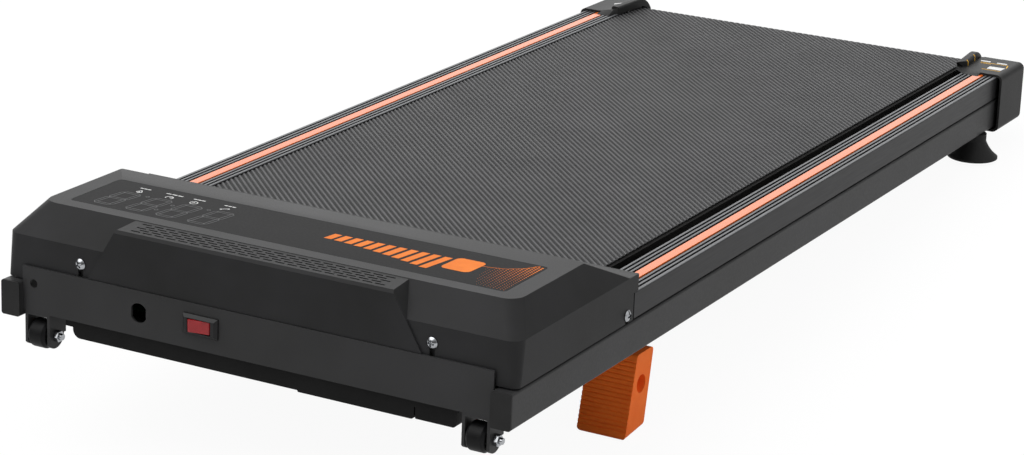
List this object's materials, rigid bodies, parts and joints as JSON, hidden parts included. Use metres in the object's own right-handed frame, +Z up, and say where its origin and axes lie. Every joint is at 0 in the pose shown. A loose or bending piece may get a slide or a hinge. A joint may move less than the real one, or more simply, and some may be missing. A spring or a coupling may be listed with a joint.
{
  "type": "walking pad",
  "caption": "Black walking pad with a motor hood at the front, a ribbed running belt between grooved rails with orange strips, and orange fold-down incline feet",
  "frame": {"origin": "on the floor under the middle of the pad's outline", "axes": "X across the pad, right-hand side seen from the front is +X; Y along the pad from the motor hood at -Y to the rear roller at +Y; Z up"},
  "size_m": [0.556, 1.2098, 0.2201],
  "materials": {
    "frame_steel": "satin black powder coat",
    "rail_aluminium": "extruded, dark grey anodised",
    "strip_orange": "extruded soft vinyl",
    "hood_plastic": "injection moulded, fine spark texture",
    "panel_film": "printed smoke polycarbonate film",
    "cap_plastic": "injection moulded, fine texture",
    "belt_rubber": "fabric-backed belt with embossed diagonal ribs",
    "deck_board": "black faced fibreboard",
    "black_rubber": "moulded",
    "foot_orange": "injection moulded, ribbed grip",
    "zinc_steel": "zinc plated",
    "roller_steel": "turned",
    "bearing_steel": "ground",
    "motor_paint": "black enamel",
    "flywheel_iron": "turned rim",
    "sink_aluminium": "extruded, plain",
    "circuit_board": "solder-masked laminate",
    "rocker_red": "translucent moulded",
    "switch_black": "moulded nylon",
    "wheel_plastic": "moulded nylon"
  },
  "bodies": {
    "frame": {"belly_pan": "cap_plastic", "controller_board": "circuit_board", "controller_heatsink": "sink_aluminium", "deck_cushions": "black_rubber", "display_board": "circuit_board", "display_panel": "panel_film", "drive_belt": "black_rubber", "foot_bar": "frame_steel", "foot_pins": "zinc_steel", "front_cross_member": "frame_steel", "front_plate": "frame_steel", "front_roller_brackets": "frame_steel", "front_roller_shaft": "roller_steel", "hood_screws": "zinc_steel", "left_end_cap": "cap_plastic", "left_foot_bracket": "zinc_steel", "left_frame_tube": "frame_steel", "left_rail_strip": "strip_orange", "left_rear_foot": "black_rubber", "left_side_rail": "rail_aluminium", "left_tube_plug": "cap_plastic", "left_wheel_bracket": "frame_steel", "middle_cross_member": "frame_steel", "motor_beam": "frame_steel", "motor_bracket": "frame_steel", "motor_can": "motor_paint", "motor_end_bells": "motor_paint", "motor_hood": "hood_plastic", "rear_cross_member": "frame_steel", "rear_roller_shaft": "roller_steel", "rear_shaft_blocks": "frame_steel", "right_end_cap": "cap_plastic", "right_foot_bracket": "zinc_steel", "right_frame_tube": "frame_steel", "right_rail_strip": "strip_orange", "right_rear_foot": "black_rubber", "right_side_rail": "rail_aluminium", "right_tube_plug": "cap_plastic", "right_wheel_bracket": "frame_steel", "running_deck": "deck_board", "switch_bezel": "switch_black", "tension_bolts": "zinc_steel", "walking_belt": "belt_rubber", "wheel_bolts": "zinc_steel", "wheel_nuts": "zinc_steel"},
    "left_wheel": {"left_wheel": "wheel_plastic"},
    "right_wheel": {"right_wheel": "wheel_plastic"},
    "left_foot": {"left_incline_foot": "foot_orange"},
    "right_foot": {"right_incline_foot": "foot_orange"},
    "rocker": {"switch_rocker": "rocker_red"},
    "front_roller_set": {"front_roller": "roller_steel", "front_roller_bearings": "bearing_steel", "roller_pulley": "sink_aluminium"},
    "rear_roller_set": {"rear_roller": "roller_steel", "rear_roller_bearings": "bearing_steel"},
    "rotor_set": {"motor_rotor": "roller_steel", "motor_flywheel": "flywheel_iron", "motor_pulley": "sink_aluminium"}
  },
  "joints": [
    {"name": "left_wheel_spin", "type": "hinge", "parent": "frame", "child": "left_wheel", "pos_m": [-0.2245, -0.59127, 0.10645], "axis": [1, 0, 0], "continuous": true},
    {"name": "left_foot_fold", "type": "hinge", "parent": "frame", "child": "left_foot", "pos_m": [-0.21175, -0.3063, 0.08802], "axis": [1, 0, 0], "range_deg": [0, 105]},
    {"name": "right_wheel_spin", "type": "hinge", "parent": "frame", "child": "right_wheel", "pos_m": [0.2245, -0.59127, 0.10645], "axis": [1, 0, 0], "continuous": true},
    {"name": "right_foot_fold", "type": "hinge", "parent": "frame", "child": "right_foot", "pos_m": [0.21175, -0.3063, 0.08802], "axis": [1, 0, 0], "range_deg": [0, 105]},
    {"name": "switch_rock", "type": "hinge", "parent": "frame", "child": "rocker", "pos_m": [-0.049, -0.59771, 0.15166], "axis": [0, 0.0848, 0.9964], "range_deg": [-18, 0]},
    {"name": "front_roller_spin", "type": "hinge", "parent": "frame", "child": "front_roller_set", "pos_m": [0, -0.43731, 0.14654], "axis": [1, 0, 0], "continuous": true},
    {"name": "rear_roller_spin", "type": "hinge", "parent": "frame", "child": "rear_roller_set", "pos_m": [0, 0.57801, 0.06011], "axis": [1, 0, 0], "continuous": true},
    {"name": "motor_spin", "type": "hinge", "parent": "frame", "child": "rotor_set", "pos_m": [0.117, -0.52922, 0.1633], "axis": [1, 0, 0], "continuous": true}
  ],
  "couplings": [
    {"joint": "rear_roller_spin", "follows": "front_roller_spin", "ratio": 1},
    {"joint": "motor_spin", "follows": "front_roller_spin", "ratio": 2.6667}
  ]
}
